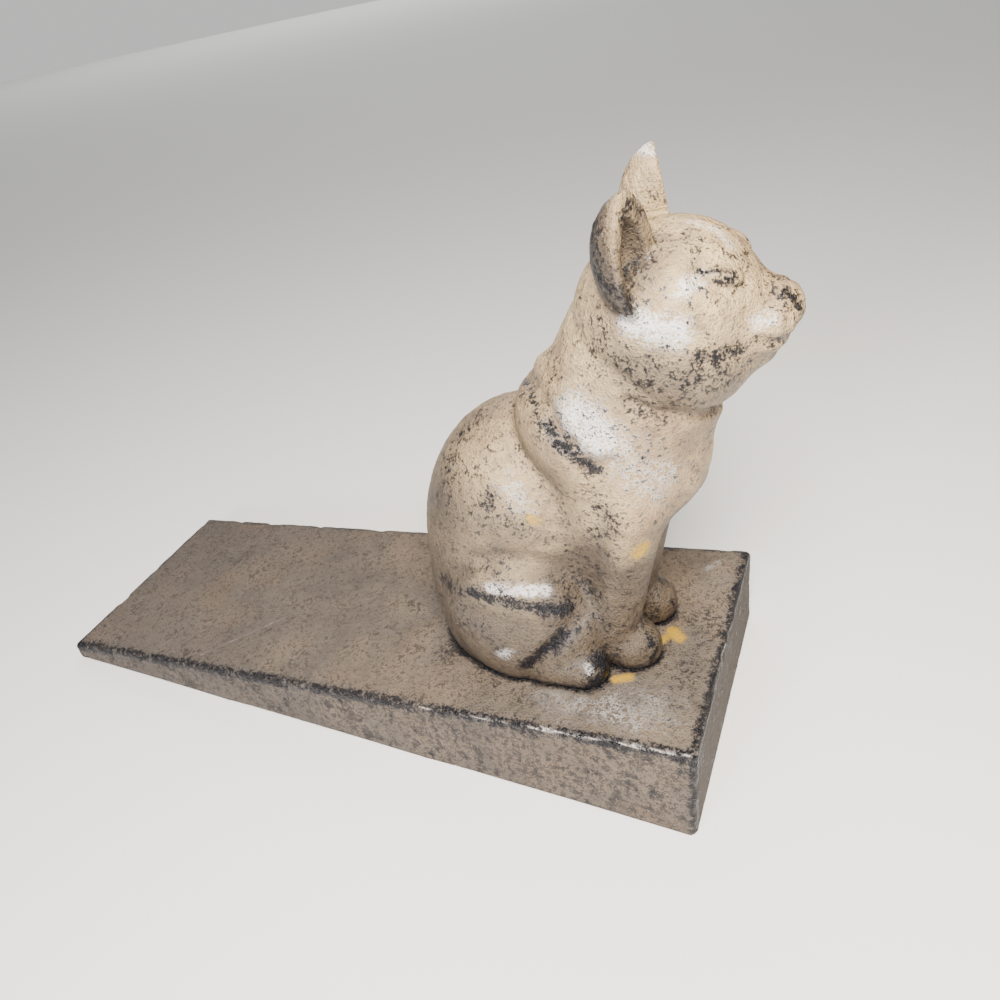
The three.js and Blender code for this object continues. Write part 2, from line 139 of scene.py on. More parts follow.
# Where the paint has gone and black iron shows, with a few dark lines of painted shadow: route, half
# the width, strength
BARE = (
    # Cape ridge, back and ribs
    (((14, -2.4, 66), (17.3, -8.6, 66.2), (19.5, -11.7, 64.5)), 1.4, 0.5),
    (((20.9, -13.1, 62.7), (23.5, -14.5, 59.5), (26.3, -14.8, 56.6), (29.6, -14, 54.2)), 1.5, 1),
    (((-3.5, -5.8, 55.1), (0.4, -4.9, 58), (4.3, -3, 60.2)), 2.6, 0.5),
    (((-4, -9, 52), (-8, -11, 44)), 3.2, 0.4),
    (((6, -14.3, 47.5), (5.1, -14.8, 45.9)), 1.8, 0.9),
    (((2.9, -15.4, 42.7), (7.3, -15.6, 42.5), (12, -15.2, 40.5)), 2.6, 0.5),
    (((28.3, -14.4, 46.7), (30.1, -14.9, 43.7), (28.6, -14.8, 40.1)), 2.4, 0.5),
    # Haunch fringe, foot crease, toes and forepaw
    (((-14.8, -12.1, 21.9), (-3.4, -18.2, 25.9)), 1.4, 0.6),
    (((-3.4, -18.2, 25.9), (3.1, -19.1, 24.8), (8, -18.9, 24.1), (12.9, -18, 22.4),
      (16.9, -15.6, 20.7)), 1.5, 1.1),
    (((14.8, -17.2, 14.8), (11.8, -18.6, 12.6), (8.4, -19.5, 9.7), (4.9, -19.9, 6.4)), 1.5, 1),
    (((20.9, -15.9, 6.9), (21.8, -15.6, 4.3), (19.5, -19, 2.6)), 1.9, 1.1),
    (((29.8, -8.9, 7.1), (30.7, -9, 4.3), (29.8, -10.1, 2.2)), 0.9, 0.7),
    (((19, -11.6, 17), (20, -11, 9)), 1.2, 0.6),
    (((-5.4, -19.2, 18), (-1.1, -20.6, 14)), 3.4, 0.35),
    # Jaw: a dark ridge above a broad peppered field
    (((47.7, -13.6, 73.8), (49.7, -12.5, 73.5), (51.9, -10.8, 73.6), (54.1, -8.1, 72.6)), 1.4, 0.95),
    (((50.9, -11.5, 71.7), (51.5, -10.8, 70.3)), 1.1, 0.9),
    (((34.8, -13.3, 77.2), (40.2, -14.5, 74.1), (45.9, -14, 71.2), (51.1, -10.8, 69.3)), 5, 0.5),
    (((58.1, -4.9, 72.2), (59.9, -4.6, 73.1)), 1, 0.8),
    # A painted shadow under the cheek ruff, along the jaw crease
    (((49.5, 0, 58.8), (47, -8, 61.2), (43.8, -10.7, 62.1), (40.3, -12.5, 64),
      (37, -13.3, 66.6)), 0.8, 0.8),
    # Eye: a dark ring, the lid line as a painted shadow under the brow, and a faint line below
    (((52.9, -7.5, 84.7), (53.5, -6.8, 84.6), (54, -6.8, 83.9), (53.8, -7.3, 83.3),
      (53.1, -7.9, 83.8)), 0.6, 1.1),
    (((48.6, -8.8, 86.3), (49.5, -8.5, 85.5), (51.1, -8.1, 85.4), (52.4, -7.6, 85)), 0.7, 0.85),
    (((49.5, -8.9, 84.9), (51.5, -8.7, 83.9), (52.6, -8.1, 83.4)), 0.6, 0.6),
    (((53.6, -4, 85.3), (55.1, -2.7, 83.5)), 0.9, 0.5),
    (((47.7, -4.5, 89.7), (48.8, -5.5, 88.7)), 1.6, 0.5),
    # Nostril, and the worn line down the front of the muzzle
    (((60, -1.7, 78.7), (60.9, -1.9, 77.6), (61.4, -1.8, 76.9)), 1.1, 1.15),
    (((58.6, -2.5, 78.9), (59.6, -2.6, 78.2)), 0.8, 0.8),
    (((62, -1.2, 75.8), (61.8, -1.4, 73.9)), 1, 0.6),
    # Ear: round the top, a painted shadow down the fold of the hollow, and painted shade with wear
    # over the back
    (((39.2, -10.8, 98.5), (40.7, -10.6, 98.9), (41.9, -10.5, 97.6), (42.3, -9, 94.9)), 0.9, 0.6),
    (((41.3, -11.8, 97), (40.9, -12.8, 96.2), (40.6, -13.8, 94), (40.6, -14.2, 90),
      (40.8, -14.6, 87), (40.5, -15.7, 84.6), (40.3, -15.7, 83)), 1, 1.3),
    (((37, -11.7, 96.6), (36.4, -13, 93.5), (36.7, -13.9, 90.6), (37.6, -15, 87.4),
      (39.1, -16, 84.9)), 2.6, 0.75),
    # The hidden side is worn in the same places, with painted shadows at its eye and ear
    (((18, 9, 67.4), (23.1, 14.4, 62.1), (29.2, 15.4, 55.4)), 1.4, 0.8),
    (((-6, 8, 53), (2, 10, 53)), 3, 0.5),
    (((2, 18.5, 24.4), (13, 18, 22.6)), 1.2, 0.8),
    (((53.4, 7.2, 84.4), (50, 8.6, 85.6)), 0.8, 1),
    (((38, 14, 74), (46, 14, 71.4), (51, 11, 69.3)), 4, 0.5),
    (((41, 13, 96), (40.8, 14.4, 87)), 1, 0.5),
    (((20.5, 18, 7), (19.5, 19, 3)), 2, 0.8),
    (((-22, 0, 22), (-19, -6, 38)), 4, 0.4),
)

# Painted highlights: a pale cool sheen painted where the high places and the eye catch the light
CAT_HIGHLIGHTS = (
    (((27, -13.2, 64.7), (29.5, -13.8, 63), (30.9, -14.2, 60.3)), 5.2, 1.1),
    (((34, -13, 57), (38, -11, 50)), 6.5, 0.68),
    (((40.1, -14.2, 81.1), (42.7, -14.3, 79.9), (46.1, -13.9, 78.5)), 3.2, 1.15),
    (((47.4, -11.4, 84.4), (48.9, -9.4, 84.4)), 2, 0.95),
    (((10.5, -13.4, 49.2), (12, -14.2, 45.8)), 4, 0.6),
    (((1.8, -18.3, 27.2), (7.3, -18.1, 26.8), (13.1, -16.3, 26.1)), 1.9, 1.1),
    (((0, -20.5, 9.6), (2.5, -20.8, 11.2)), 2.2, 0.8),
    (((19, -18.2, 7.2), (19.4, -18.7, 6)), 1.3, 1.15),
    (((56.4, -6.1, 75.9), (58.1, -5, 75.9)), 1.9, 0.9),
    (((47.1, -1.2, 90.6), (50.2, -1.1, 89.2), (52.8, -2.6, 86.8)), 1.4, 0.7),
    (((38.9, 7.4, 100.3), (40.3, 7.1, 100.4)), 2, 0.9),
    (((39.5, -12.3, 96.8), (39.1, -13.4, 94.7), (39.2, -14.3, 92.2), (39.5, -14.8, 89.4),
      (39.7, -15.1, 86.8)), 1, 1.5),
    (((53.4, -7.2, 84), (53.5, -7.1, 84.1)), 0.5, 0.9),
    (((32, 14, 61), (8, 18, 27)), 2.4, 0.5),
    (((42, 15, 79), (46, 14, 77)), 3.4, 0.7),
    (((-19, 4, 40), (-14, 8, 47)), 4, 0.35),
)

# Painted shade on both sides of the cat: between and on the legs, low on the haunch, under the jaw
# and low on the ribs
SHADED_PLACES = (
    (((22, -14, 26), (19, -13, 12)), 8, 0.95),
    (((29, -10, 26), (29, -9, 6)), 6, 0.8),
    (((-10, -16, 12), (5, -20, 14)), 7, 0.45),
    (((36, -13, 72), (52, -9, 68)), 5, 0.3),
    (((-12, -10, 45), (4, -14, 40)), 9, 0.3),
)

# Painted shade on the back and inside of the near ear alone
EAR_SHADE = (
    (((36, -12, 97.5), (37.2, -15.6, 86)), 4, 1.25),
    (((42, -9.6, 95.6), (41.2, -8.9, 89)), 2.4, 0.35),
)

# Small ochre rust stains on the cat and, in millimetres of the part's frame, on the wedge
CAT_RUST = (
    (((14, -14.4, 42.7), (14.3, -14.4, 42.4)), 1.2, 1.8),
    (((33.6, -12.6, 35.6), (33.2, -12.8, 34.6)), 1.9, 1.4),
)
WEDGE_RUST = (
    (((73.8, 1.1, 20.3), (76, -0.8, 20.5)), 1.3, 1.2),
    (((66, -13.6, 19.6), (68.6, -12.7, 19.8)), 1.1, 1.2),
    (((71.5, -3.2, 20.1), (73, -0.5, 20.2)), 1.2, 0.7),
)

# Bare places of the wedge, then its pale marks and a painted pool of light, in millimetres of the
# part's frame
WEDGE_BARE = (
    (((26, -13, 15.5), (31, -11, 16)), 3.5, 0.4),
    (((-61, 9, 6.8), (-57, 11, 7)), 5, 0.3),
    (((-82, -28, 5), (-30, -28, 9.8), (25, -28, 15.4)), 1.7, 0.95),
    (((25, -28.2, 15.4), (85, -28.2, 21.4)), 1.1, 0.6),
    (((84.2, -28, 21), (84.2, 28, 21)), 1.1, 0.8),
    (((78, -20, 20.6), (80, 6, 20.8)), 2.5, 0.35),
)
WEDGE_RUBS_AND_HIGHLIGHT = (
    (((-39.7, -24.7, 8.9), (-21.5, -6.7, 10.7)), 0.5, 0.5),
    # A painted pool of light on the top, towards the thick end's near corner
    (((56, -20, 19), (76, -20, 20.3)), 9, 0.55),
    (((77, 21, 20.6), (79, 23, 20.8)), 1.6, 0.6),
)

# The larger pimples on the wedge: x, y, radius and rise in millimetres
WEDGE_PIMPLES = ((12.9, -19, 1.5, 0.5), (-10.3, -27, 1.3, 0.45), (78.2, 22.3, 2.1, 0.55),
                 (-48, 14, 1, 0.3))

# The ragged crack across the far forepaw
PAW_CRACK = (((28.4, 4.2, 12.6), (30.4, 5.6, 10.4), (30.7, 4.6, 8.6), (31.4, 6.2, 7),
              (30.9, 5.4, 4.8)), 0.5, 0.7)

# The ridge left where the mould's halves met, and the skins' relief, in millimetres
SEAM_WIDTH, SEAM_WANDER = 0.42, 0.25
CAT_LUMPS, CAT_PITS = 0.16, 0.14
WEDGE_SWELLS, WEDGE_PITS, WEDGE_NICKS, WEDGE_STREAKS = 0.2, 0.13, 0.4, 0.12

# Dark coats: painted shade towards the wedge's thin end and on shaded places, the veil about torn
# places and the pits
END_SHADE, SHADE_BROWN, VEIL, PIT = "#4c4644", "#3b322a", "#4b4744", "#342c25"

# The nets: the room that the cat's takes in its own axes, how many cells a side are tried as
# one block, how near the skin, in blocks, a block is filled in, and how many are filled at once
CAT_REACH = ((-29, -26, -2), (66, 30, 109))
BLOCK, BLOCK_MARGIN, BLOCKS_AT_ONCE = 8, 1.3, 400
NOISE_SPAN = 32

# Studio lamps: degrees round and up, distance and width in metres, watts, tint
LAMPS = (
    ("key", 28, 52, 0.3, 0.14, 3.8, "#fff6ea"),
    ("window", -12, 14, 0.6, 0.16, 3.4, "#e6eeff"),
    ("top", -60, 70, 1.1, 1.0, 0.6, "#ffffff"),
    ("rim", 190, 40, 1.3, 0.9, 1.2, "#ffffff"),
    ("floor", 211, 30, 3.4, 3, 60, "#ffffff"),
)
LIT_PLACE = (0.055, 0, 0.05)
SKY_LIGHT, SKY_SEEN = 0.16, 0.74
FLOOR_RADIUS, FLOOR_DROP = 3.2, 0.0002
FLOOR_RINGS, FLOOR_SECTORS = 24, 96

# The camera, solved from the wedge's corners: place in metres, then degrees round, up and rolled
CAMERA_PLACE = (0.1048, -0.11081, 0.14225)
CAMERA_ANGLES = (30.18, 35.63, -11.75)
LENS, SENSOR = 28.29, 36


def linear(code):
    """A linear colour from its sRGB hex code."""
    values = [int(code[i:i + 2], 16) / 255 for i in (1, 3, 5)]
    return tuple(v / 12.92 if v <= 0.04045 else ((v + 0.055) / 1.055) ** 2.4 for v in values)


class DoorstopSizes(bpy.types.PropertyGroup):
    """The sizes of the doorstop's fine casting."""

    wedge_length: FloatProperty(
        name="Wedge length", description="Thin end to thick end", default=170 * MM, unit="LENGTH")
    wedge_top_width: FloatProperty(
        name="Wedge width", description="Across the sloping top", default=56.6 * MM, unit="LENGTH")
    thick_end: FloatProperty(
        name="Thick end", description="Height of the thick end", default=21.4 * MM, unit="LENGTH")
    thin_end: FloatProperty(
        name="Thin end", description="Height of the thin end", default=4.3 * MM, unit="LENGTH")
    side_draft: FloatProperty(
        name="Side draft", description="How far the sides lean out downwards",
        default=math.radians(6.1), subtype="ANGLE")
    edge_round: FloatProperty(
        name="Edge round", description="Radius of the worn upper edges",
        default=1.1 * MM, unit="LENGTH")
    cat_height: FloatProperty(
        name="Cat height", description="Seat to ear tips", default=92.5 * MM, unit="LENGTH")
    cat_from_centre: FloatProperty(
        name="Cat from centre", description="Along the wedge towards its thick end",
        default=45 * MM, unit="LENGTH")
    seat_gap: FloatProperty(
        name="Parting line", description="Gap between the cat and the wedge",
        default=0.3 * MM, unit="LENGTH", precision=5)
    cat_net: FloatProperty(
        name="Cat net", description="Mesh spacing on the cat", default=0.445 * MM, unit="LENGTH",
        precision=5)
    wedge_net: FloatProperty(
        name="Wedge net", description="Mesh spacing on the wedge", default=0.62 * MM,
        unit="LENGTH", precision=5)
    grain_height: FloatProperty(
        name="Sand grain", description="Height of the cast sand texture", default=0.075 * MM,
        unit="LENGTH", precision=6)
    seam_height: FloatProperty(
        name="Mould seam", description="Height of the ridge where the mould halves met",
        default=0.34 * MM, unit="LENGTH", precision=5)
    pimple_width: FloatProperty(
        name="Pimple width", description="Width of the largest small casting pimples",
        default=0.75 * MM, unit="LENGTH", precision=5)
    pimple_density: FloatProperty(
        name="Pimples per m²", description="How many small casting pimples there are",
        default=9000, min=0)


class DoorstopColours(bpy.types.PropertyGroup):
    """The colours of the doorstop's worn paint and iron, and of its painted highlights."""

    tan_paint: FloatVectorProperty(
        name="Tan paint", description="Light paint brushed over the cat", subtype="COLOR",
        default=linear("#c8ae82"))
    dull_tan: FloatVectorProperty(
        name="Dull tan", description="The cat's paint where it is thinner", subtype="COLOR",
        default=linear("#857055"))
    brown_paint: FloatVectorProperty(
        name="Brown paint", description="Paint of the wedge", subtype="COLOR",
        default=linear("#6f6355"))
    dull_brown: FloatVectorProperty(
        name="Dull brown", description="The wedge's paint where it is thinner", subtype="COLOR",
        default=linear("#554b41"))
    old_paint: FloatVectorProperty(
        name="Old paint", description="Warmer paint in broad clouds", subtype="COLOR",
        default=linear("#a5835c"))
    black_iron: FloatVectorProperty(
        name="Black iron", description="Bare blackened iron", subtype="COLOR",
        default=linear("#1a1a1e"))
    # The colour of the painted highlights on the high places
    highlight_colour: FloatVectorProperty(
        name="Pale sheen", description="Rubbed high places", subtype="COLOR",
        default=linear("#e2e0de"))
    ochre_rust: FloatVectorProperty(
        name="Ochre rust", description="Small fresh rust stains", subtype="COLOR",
        default=linear("#b08a0c"))


def tipped(p, degrees):
    """Turned about y."""
    c, s = math.cos(math.radians(degrees)), math.sin(math.radians(degrees))
    return p[0] * c + p[2] * s, p[1], p[2] * c - p[0] * s


def turned(p, degrees):
    """Turned about z."""
    c, s = math.cos(math.radians(degrees)), math.sin(math.radians(degrees))
    return p[0] * c + p[1] * s, p[1] * c - p[0] * s, p[2]


def leaned(p, degrees):
    """Turned about x."""
    c, s = math.cos(math.radians(degrees)), math.sin(math.radians(degrees))
    return p[0], p[1] * c + p[2] * s, p[2] * c - p[1] * s


def from_place(p, place):
    return p[0] - place[0], p[1] - place[1], p[2] - place[2]


def mirrored(p):
    return p[0], np.abs(p[1]), p[2]


def mass(p, form):
    """Distance to a rounded mass."""
    centre, half, tip = form
    x, y, z = tipped(from_place(p, centre), tip)
    scaled = np.sqrt((x / half[0]) ** 2 + (y / half[1]) ** 2 + (z / half[2]) ** 2)
    steep = np.sqrt((x / half[0] ** 2) ** 2 + (y / half[1] ** 2) ** 2 + (z / half[2] ** 2) ** 2)
    return scaled * (scaled - 1) / np.maximum(steep, 1e-9)


def limb(p, a, b, radius_a, radius_b):
    """Distance to a limb that tapers from a to b."""
    along = [b[i] - a[i] for i in range(3)]
    x, y, z = from_place(p, a)
    share = (x * along[0] + y * along[1] + z * along[2]) / sum(v * v for v in along)
    t = np.clip(share, 0, 1)
    off = np.sqrt((x - along[0] * t) ** 2 + (y - along[1] * t) ** 2 + (z - along[2] * t) ** 2)
    return off - radius_a - (radius_b - radius_a) * t


def joined(a, b, soft):
    near = np.maximum(soft - np.abs(a - b), 0) / soft
    return np.minimum(a, b) - near ** 3 * soft / 6


def kept(a, b, soft):
    return -joined(-a, -b, soft)


def away_from(p, route):
    """Distance to a route."""
    away = limb(p, route[0], route[1], 0, 0)
    for a, b in zip(route[1:-1], route[2:]):
        away = np.minimum(away, limb(p, a, b, 0, 0))
    return away


def carved(distance, p, line):
    route, width, depth = line
    return distance + depth * np.exp(-(away_from(p, route) / width) ** 2)


def smooth_step(value, low, high):
    t = np.clip((value - low) / (high - low), 0, 1)
    return t * t * (3 - 2 * t)


def body_field(p):
    m = mirrored(p)
    back = joined(mass(p, RUMP), mass(p, RIBS), BACK_BLEND)
    front = joined(mass(p, CHEST), mass(p, CAPE), FRONT_BLEND)
    front = joined(front, mass(p, NECK), FRONT_BLEND)
    front = joined(front, mass(m, UPPER_ARM), ARM_BLEND)
    front = joined(front, limb(m, *FORELEG), ARM_BLEND)
    body = joined(back, front, FRONT_BLEND - NAPE_TIGHTER * smooth_step(p[2], *NAPE))
    body = joined(body, mass(m, THIGH), THIGH_BLEND)
    body = joined(body, limb(m, *HIND_FOOT), FOOT_BLEND)
    body = joined(body, mass(m, FOREPAW), FOOT_BLEND)
    for line in (CAPE_EDGE, ARM_HOLLOW, THIGH_EDGE, THIGH_FOLD, FOOT_EDGE):
        body = carved(body, m, line)
    return carved(body, p, PAW_CRACK)


def leaf(across, forward, up, shape):
    half_width, above, below, depth = shape
    height = np.where(up > 0, above, below)
    round_ = np.sqrt((across / half_width) ** 2 + (forward / depth) ** 2) ** EAR_BLUNT
    return (round_ + np.abs(up / height) ** EAR_POINT - 1) * min(half_width, depth)


def ear_field(h):
    x, y, z = turned(from_place(mirrored(h), EAR_PLACE), EAR_FACING)
    forward, across = x + EAR_SPLAY * z, y + EAR_SPLAY * z
    shell = leaf(across, forward, z, EAR_SHELL)
    ahead, aside, above = EAR_HOLLOW_SHIFT
    hollow = leaf(across - aside, forward - ahead, z + above, EAR_HOLLOW)
    return kept(kept(shell, forward, EAR_FRONT_ROUND), -hollow, EAR_RIM_ROUND)


def head_field(h):
    m = mirrored(h)
    head = joined(mass(h, SKULL), mass(h, CHEEKS), HEAD_BLEND)
    head = joined(head, limb(h, *NOSE_BRIDGE), HEAD_BLEND)
    head = joined(head, mass(m, WHISKER_PAD), FACE_BLEND)
    head = joined(head, mass(h, CHIN), FACE_BLEND)
    head = carved(carved(head, m, UPPER_LID), m, LOWER_LID)
    eye = turned(from_place(m, EYE_PLACE), EYE_SLANT)
    return carved(joined(head, mass(eye, EYEBALL), EYE_BLEND), m, MOUTH)


def tail_field(p):
    thin = (TAIL_ROOT - TAIL_TIP) / (len(TAIL) - 1)
    tail = None
    for i, (a, b) in enumerate(zip(TAIL[:-1], TAIL[1:])):
        piece = limb(p, a, b, TAIL_ROOT - thin * i, TAIL_ROOT - thin * (i + 1))
        tail = piece if tail is None else joined(tail, piece, TAIL_BLEND)
    return tail


def cat_field(p):
    """Distance to the whole cat, in hundredths of its height, before its seat is cut."""
    head = leaned(turned(from_place(p, HEAD_PLACE), HEAD_TURN), HEAD_LEAN)
    cat = joined(body_field(p), head_field(head), CREASE_BLEND)
    cat = carved(cat, mirrored(p), JAW_EDGE)
    cat = joined(cat, ear_field(head), CREASE_BLEND)
    return joined(cat, tail_field(p), TAIL_BLEND)


def noise(p, size, seed):
    """Smooth noise from 0 to 1, with lumps about size wide."""
    table = np.random.default_rng(seed).random((NOISE_SPAN,) * 3, dtype=np.float32)
    cells, shares = [], []
    for value in p:
        q = value / size
        cell = np.floor(q)
        t = q - cell
        cells.append(cell.astype(np.int64))
        shares.append(t * t * (3 - 2 * t))
    total = 0
    for ends in np.ndindex(2, 2, 2):
        part = table[tuple((cell + end) % NOISE_SPAN for cell, end in zip(cells, ends))]
        for share, end in zip(shares, ends):
            part = part * (share if end else 1 - share)
        total = total + part
    return total


def marked(p, marks):
    """How strongly the marks cover each point, from 0 to 1."""
    cover = np.zeros_like(p[0])
    for route, width, strength in marks:
        cover = np.maximum(cover, strength * np.exp(-(away_from(p, route) / width) ** 2))
    return np.minimum(cover, 1)


def slope_of(field, p, reach):
    slopes = []
    for axis in range(3):
        ahead, behind = list(p), list(p)
        ahead[axis] = p[axis] + reach
        behind[axis] = p[axis] - reach
        slopes.append((field(ahead) - field(behind)) / (2 * reach))
    return slopes


def field_values(field, low, counts, step):
    """The field at every crossing of a grid. Blocks far from the skin keep one value each."""
    blocks = [count // BLOCK for count in counts]
    middle = (BLOCK - 1) / 2
    middles = [low[i] + (np.arange(blocks[i]) * BLOCK + middle) * step for i in range(3)]
    coarse = field([m.astype(np.float32) for m in np.meshgrid(*middles, indexing="ij")])
    values = np.kron(coarse, np.ones((BLOCK, BLOCK, BLOCK), np.float32))
    inner = np.arange(BLOCK) * step
    near = np.argwhere(np.abs(coarse) < BLOCK * step * BLOCK_MARGIN)
    offset = np.stack(np.meshgrid(inner, inner, inner, indexing="ij"))
    for part in np.array_split(near, max(len(near) // BLOCKS_AT_ONCE, 1)):
        points = []
        for axis in range(3):
            start = low[axis] + part[:, axis] * BLOCK * step
            points.append((start[:, None, None, None] + offset[axis][None]).astype(np.float32))
        for (i, j, k), cube in zip(part * BLOCK, field(points)):
            values[i:i + BLOCK, j:j + BLOCK, k:k + BLOCK] = cube
    return values


def skin_of(field, low, high, step):
    """A closed net over the field's skin: corners as an array and faces of four."""
    counts = [int(math.ceil((high[i] - low[i]) / step / BLOCK)) * BLOCK for i in range(3)]
    values = field_values(field, low, counts, step)
    inside = values < 0
    shape = [c - 1 for c in counts]
    filled = np.zeros(shape, np.int8)
    for i, j, k in np.ndindex(2, 2, 2):
        filled += inside[i:i + shape[0], j:j + shape[1], k:k + shape[2]]
    cells = np.argwhere((filled > 0) & (filled < 8))
    number = np.full(shape, -1, np.int64)
    number[tuple(cells.T)] = np.arange(len(cells))
    total = np.zeros((len(cells), 3))
    crossings = np.zeros(len(cells))
    for axis in range(3):
        for side in range(4):
            a = cells.copy()
            a[:, (axis + 1) % 3] += side & 1
            a[:, (axis + 2) % 3] += side >> 1
            b = a.copy()
            b[:, axis] += 1
            va, vb = values[tuple(a.T)], values[tuple(b.T)]
            crossed = (va < 0) != (vb < 0)
            share = np.where(crossed, va / np.where(crossed, va - vb, 1), 0)
            point = a.astype(float)
            point[:, axis] += share
            total += point * crossed[:, None]
            crossings += crossed
    corners = np.array(low) + total / crossings[:, None] * step
    faces = []
    for axis in range(3):
        u, v = (axis + 1) % 3, (axis + 2) % 3
        first = [slice(1, c - 1) for c in counts]
        second = list(first)
        second[axis] = slice(2, counts[axis])
        here, there = inside[tuple(first)], inside[tuple(second)]
        edges = np.argwhere(here != there) + 1
        outward = inside[tuple(edges.T)]
        ring = []
        for du, dv in ((-1, -1), (0, -1), (0, 0), (-1, 0)):
            cell = edges.copy()
            cell[:, u] += du
            cell[:, v] += dv
            ring.append(number[tuple(cell.T)])
        ring = np.stack(ring, 1)
        ring[~outward] = ring[~outward][:, ::-1]
        faces.append(ring)
    return corners, np.concatenate(faces)


def onto_skin(field, corners, step):
    """Corners drawn onto the skin, and the outward direction at each."""
    p = [corners[:, i].astype(np.float64) for i in range(3)]
    for _ in range(2):
        g = slope_of(field, p, step / 4)
        steep = np.maximum(g[0] ** 2 + g[1] ** 2 + g[2] ** 2, 0.25)
        move = np.clip(field(p) / steep, -step, step)
        p = [p[i] - g[i] * move for i in range(3)]
    g = slope_of(field, p, step / 2)
    size = np.maximum(np.sqrt(g[0] ** 2 + g[1] ** 2 + g[2] ** 2), 1e-6)
    return p, [v / size for v in g]


def sunken(field, p, n, reach):
    """From 0 on open skin to 1 in a hollow that is narrower than reach."""
    return np.clip(1 - field([p[i] + n[i] * reach for i in range(3)]) / reach, 0, 1)


def net_of(name, corners, faces, shades, material):
    """A smooth mesh with one named value for each kind of wear and painted light at every corner."""
    mesh = bpy.data.meshes.new(name)
    mesh.from_pydata(corners.tolist(), [], faces.tolist())
    mesh.polygons.foreach_set("use_smooth", np.ones(len(mesh.polygons), bool))
    for key, values in shades.items():
        layer = mesh.attributes.new(key, "FLOAT", "POINT")
        layer.data.foreach_set("value", np.asarray(values, np.float32))
    mesh.materials.append(material)
    mesh.update()
    return mesh


def new_piece(name, mesh, node=None):
    """A finished piece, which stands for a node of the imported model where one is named."""
    piece = bpy.data.objects.new(name, mesh)
    bpy.context.scene.collection.objects.link(piece)
    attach(piece, "root")
    if node:
        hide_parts(node)


def slope_angle(sizes):
    return math.atan2(sizes.thick_end - sizes.thin_end, sizes.wedge_length)


def top_height(sizes, x):
    return sizes.thin_end + (x + sizes.wedge_length / 2) * math.tan(slope_angle(sizes))


def cat_to_part(sizes):
    """From the cat's own axes to the part's frame, in metres."""
    place = Vector((sizes.cat_from_centre, 0, top_height(sizes, sizes.cat_from_centre)))
    return Matrix.Translation(place) @ Matrix.Rotation(-slope_angle(sizes), 4, "Y")


def wedge_walls_of(sizes):
    """How far a point lies beyond the wedge's top, its sides and its ends, in millimetres."""
    length, width = sizes.wedge_length / MM, sizes.wedge_top_width / MM
    slope, draft = slope_angle(sizes), sizes.side_draft

    def walls(p):
        top = sizes.thin_end / MM + (p[0] + length / 2) * math.tan(slope)
        above = (p[2] - top) * math.cos(slope)
        beside = (np.abs(p[1]) - width / 2 - (top - p[2]) * math.tan(draft)) * math.cos(draft)
        return above, beside, np.abs(p[0]) - length / 2

    return walls


def wedge_field_of(sizes):
    """The wedge's distance field, in millimetres of the part's frame."""
    walls, edge = wedge_walls_of(sizes), sizes.edge_round / MM

    def field(p):
        above, beside, beyond = (wall + edge for wall in walls(p))
        out = np.sqrt(sum(np.maximum(wall, 0) ** 2 for wall in (above, beside, beyond)))
        deep = np.minimum(np.maximum(np.maximum(above, beside), beyond), 0)
        return np.maximum(out + deep - edge, -p[2])

    return field


def add(tree, kind, settings=(), links=()):
    """A node with its settings and, by socket, its values or links.

    A link from a node is a link from its first output.
    """
    node = tree.nodes.new(kind)
    for key, value in dict(settings).items():
        setattr(node, key, value)
    for key, value in dict(links).items():
        if isinstance(value, bpy.types.Node):
            value = value.outputs[0]
        if isinstance(value, bpy.types.NodeSocket):
            tree.links.new(value, node.inputs[key])
        else:
            node.inputs[key].default_value = value
    return node


